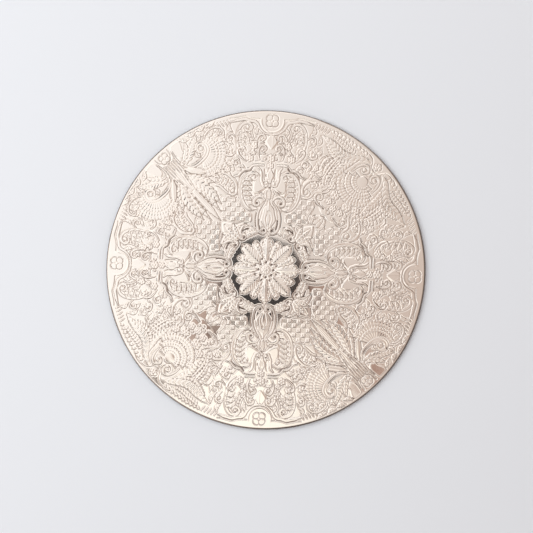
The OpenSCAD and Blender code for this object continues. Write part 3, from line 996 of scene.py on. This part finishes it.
def roughened(tree, shader, source, strength, distance):
    """Bump from a height."""
    node = add(tree, "ShaderNodeBump", Strength=strength, Distance=distance)
    tree.links.new(source, node.inputs["Height"])
    tree.links.new(node.outputs["Normal"], shader.inputs["Normal"])


def painted_shade(tree, place):
    """Painted shade on the plating: how much darker it is in the deepest recesses, and on the rolled edge at
    lower right.
    """
    level = add(tree, "ShaderNodeSeparateXYZ")
    tree.links.new(place.outputs["Object"], level.inputs["Vector"])
    first, last = (GROUND_Z - 0.03) * MM, (GROUND_Z - 0.13) * MM
    # Painted shade in the recesses, below the level ground of the relief.
    recess_shade = mapped(tree, level.outputs["Z"], first, last, high=PAINTED_SHADE_MOST)
    radius = vector_value(tree, place, "LENGTH")
    edge = mapped(tree, radius, (MAT_R - 1.8) * MM, (MAT_R - 0.9) * MM, high=PAINTED_SHADE_MOST)
    # Painted shade on the lower right of the rolled edge.
    lower_right = vector_value(tree, place, "DOT_PRODUCT", (0.83, -0.55, 0))
    lower_right_shade = combined(tree, "MULTIPLY", edge, mapped(tree, lower_right, -0.02, 0.09))
    return combined(tree, "MAXIMUM", recess_shade, lower_right_shade)


def plated_silver():
    mat, tree, shader = material("plated_silver")
    place = add(tree, "ShaderNodeTexCoord")
    patches = noise(tree, place, Scale=14.0, Detail=3.0, Roughness=0.55)
    tone = blended(tree, mapped(tree, patches, 0.35, 0.65), SILVER, WARM_SILVER)
    # The colour is darkened by painted shade in the recesses and on the lower right edge.
    tree.links.new(blended(tree, painted_shade(tree, place), tone, PAINTED_SHADE_BROWN), shader.inputs["Base Color"])
    shader.inputs["Metallic"].default_value = 1.0
    haze = noise(tree, place, Scale=420.0, Detail=4.0, Roughness=0.6)
    tree.links.new(mapped(tree, haze, 0.3, 0.7, 0.035, 0.07), shader.inputs["Roughness"])
    roughened(tree, shader, noise(tree, place, Scale=1600.0, Detail=2.0), 0.05, 0.0001)
    return mat


def two_tone(name, dark, light, stops, roughness, bump, pattern):
    """A material whose noise sets both its colour and its bump, given as strength and distance."""
    mat, tree, shader = material(name)
    grain = noise(tree, add(tree, "ShaderNodeTexCoord"), **pattern)
    ramp = add(tree, "ShaderNodeValToRGB")
    for element, stop, colour in zip(ramp.color_ramp.elements, stops, (dark, light)):
        element.position, element.color = stop, (*colour, 1)
    tree.links.new(grain, ramp.inputs["Fac"])
    tree.links.new(ramp.outputs["Color"], shader.inputs["Base Color"])
    shader.inputs["Roughness"].default_value = roughness
    roughened(tree, shader, grain, *bump)
    return mat, shader


def wool_felt():
    fibres = {"Scale": 900.0, "Detail": 5.0, "Roughness": 0.7, "Distortion": 1.2}
    dark, light = (0.010, 0.045, 0.022), (0.035, 0.120, 0.065)
    mat, shader = two_tone("wool_felt", dark, light, (0.3, 0.7), 0.95, (0.6, 0.0003), fibres)
    shader.inputs["Sheen Weight"].default_value = 0.35
    shader.inputs["Sheen Roughness"].default_value = 0.6
    return mat


def hardboard():
    pulp = {"Scale": 700.0, "Detail": 6.0, "Roughness": 0.75}
    dark, light = (0.055, 0.028, 0.014), (0.230, 0.130, 0.070)
    return two_tone("hardboard", dark, light, (0, 1), 0.8, (0.4, 0.0002), pulp)[0]


def dried_adhesive():
    smears = {"Scale": 60.0, "Detail": 4.0, "Distortion": 2.0}
    dark, light = (0.36, 0.24, 0.09), (0.62, 0.48, 0.24)
    return two_tone("dried_adhesive", dark, light, (0, 1), 0.45, (0.3, 0.0003), smears)[0]


def paint(piece, mat):
    piece.data.materials.clear()
    piece.data.materials.append(mat)


paint(plate, plated_silver())
paint(felt, wool_felt())
adhesive = dried_adhesive()
for node_name, mat in (("core_board", hardboard()), ("face_glue", adhesive), ("felt_glue", adhesive)):
    for material_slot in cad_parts[node_name].material_slots:
        material_slot.material = mat


# ---- Stage: floor, ceiling card, surroundings, lamps and camera ----

def stage_plane(name, size, z, mat, centre=(0, 0)):
    mesh = bpy.data.meshes.new(name)
    (x, y), h = centre, size / 2
    corners = [(x - h, y - h, z), (x + h, y - h, z), (x + h, y + h, z), (x - h, y + h, z)]
    mesh.from_pydata(corners, [], [(0, 1, 2, 3)])
    mesh.materials.append(mat)
    plane = bpy.data.objects.new(name, mesh)
    bpy.context.collection.objects.link(plane)
    return plane


floor_mat, floor_tree, floor_shader = material("pale_floor")
floor_shader.inputs["Base Color"].default_value = (0.82, 0.87, 0.93, 1)
floor_shader.inputs["Roughness"].default_value = 0.7
stage_plane("floor", 12, 0, floor_mat)

CAMERA_Z = 0.886
CARD_Z = CAMERA_Z + 0.06
PALE, WARM, CREAM, SHADE = (1.24, 1.26, 1.27), (1.18, 1.15, 1.13), (1.28, 1.25, 1.15), (0.56, 0.45, 0.385)
BROWN, DIM, DARK = (0.36, 0.21, 0.16), (0.15, 0.10, 0.085), (0.05, 0.048, 0.05)
# centre, radius, half the width of the soft edge, strength and colour, later ones over earlier ones
CARD_PATCHES = (
    ((0, 0), 0.4, -0.08, 1.0, WARM),
    ((0.62, 0.0), 0.62, 0.42, 1.0, SHADE),
    ((-0.04, -0.22), 0.15, 0.1, 0.8, CREAM),
    ((0.15, -0.1), 0.1, 0.08, 0.22, BROWN),
    ((0.178, -0.16), 0.03, 0.012, 0.8, BROWN),
    ((0.168, -0.189), 0.012, 0.008, 0.7, BROWN),
    ((0.082, -0.03), 0.026, 0.01, 0.8, BROWN),
    ((0.122, -0.08), 0.03, 0.01, 0.75, BROWN),
    ((0.068, -0.065), 0.02, 0.01, 0.85, DIM),
    ((-0.115, -0.125), 0.032, 0.01, 0.7, BROWN),
    ((-0.181, -0.158), 0.013, 0.008, 0.7, BROWN),
    ((-0.181, -0.175), 0.012, 0.006, 0.8, DIM),
    ((-0.167, -0.188), 0.015, 0.006, 0.85, DIM),
    ((-0.153, -0.201), 0.013, 0.006, 0.85, DIM),
    ((-0.084, -0.02), 0.016, 0.006, 0.75, BROWN),
    ((-0.074, -0.036), 0.014, 0.006, 0.85, DIM),
    ((-0.036, -0.074), 0.022, 0.008, 0.85, DIM),
    ((-0.092, -0.075), 0.034, 0.01, 0.75, BROWN),
    ((-0.078, -0.118), 0.026, 0.012, 0.85, DIM),
    ((0.012, -0.026), 0.066, 0.006, 0.9, DIM),
    ((-0.011, -0.013), 0.07, 0.004, 0.97, DARK),
)


def card_light():
    """The card's glow, pale with round darker areas that stand for the room over the mat."""
    mat = bpy.data.materials.new("ceiling_card")
    mat.use_nodes = True
    tree = mat.node_tree
    tree.nodes.clear()
    place = add(tree, "ShaderNodeTexCoord")
    colour = PALE
    for centre, radius, blur, strength, patch in CARD_PATCHES:
        away = vector_value(tree, place, "DISTANCE", (*centre, CARD_Z))
        share = mapped(tree, away, radius + blur, radius - blur, high=strength)
        colour = blended(tree, share, colour, patch)
    glow = add(tree, "ShaderNodeEmission", Strength=0.965)
    out = add(tree, "ShaderNodeOutputMaterial")
    tree.links.new(colour, glow.inputs["Color"])
    tree.links.new(glow.outputs[0], out.inputs["Surface"])
    return mat


ceiling = stage_plane("ceiling_card", 1.5, CARD_Z, card_light(), (-0.12, 0.10))
ceiling.visible_camera = False
ceiling.visible_shadow = False


def surroundings():
    """The room's walls, as colours by height: dim low down, palest above the horizon, brown overhead."""
    world = bpy.data.worlds.new("studio")
    world.use_nodes = True
    bpy.context.scene.world = world
    tree = world.node_tree
    outlook = add(tree, "ShaderNodeTexCoord")
    direction = add(tree, "ShaderNodeSeparateXYZ")
    tree.links.new(outlook.outputs["Generated"], direction.inputs["Vector"])
    walls = add(tree, "ShaderNodeValToRGB")
    tree.links.new(direction.outputs["Z"], walls.inputs["Fac"])
    ramp = walls.color_ramp
    ramp.interpolation = "EASE"
    levels = ((0.0, (0.44, 0.41, 0.40)), (0.2, (0.66, 0.615, 0.59)), (0.36, (0.52, 0.455, 0.42)),
              (0.58, (0.13, 0.08, 0.062)))
    for level, _ in levels[1:-1]:
        ramp.elements.new(level)
    for element, (level, colour) in zip(ramp.elements, levels):
        element.position, element.color = level, (*colour, 1)
    tree.links.new(walls.outputs["Color"], tree.nodes["Background"].inputs["Color"])


def soft_light(name, position, width, depth, watts, mirrored=True):
    light = bpy.data.lights.new(name, "AREA")
    light.shape, light.size, light.size_y, light.energy = "ELLIPSE", width, depth, watts
    lamp = bpy.data.objects.new(name, light)
    lamp.location = position
    lamp.rotation_euler = (-Vector(position)).to_track_quat("-Z", "Y").to_euler()
    lamp.visible_glossy = mirrored
    bpy.context.collection.objects.link(lamp)


surroundings()
soft_light("window", (-0.9, 0.9, 1.8), 4.2, 1.5, 19)
soft_light("fill", (1.3, -0.5, 1.7), 3.2, 1.5, 4)
soft_light("bounce", (-1.1, 0.2, 1.9), 3.0, 3.0, 33, mirrored=False)

camera = bpy.data.cameras.new("camera")
camera.lens, camera.sensor_width = 75, 36
eye = bpy.data.objects.new("camera", camera)
roll = math.radians(2.6)
cos, sin = math.cos(roll), math.sin(roll)
across, up = 0.0004, 0.0028
eye.location = (across * cos - up * sin, across * sin + up * cos, CAMERA_Z)
eye.rotation_euler = (0, 0, roll)
bpy.context.collection.objects.link(eye)
bpy.context.scene.camera = eye
bpy.context.scene.view_settings.view_transform = "Standard"
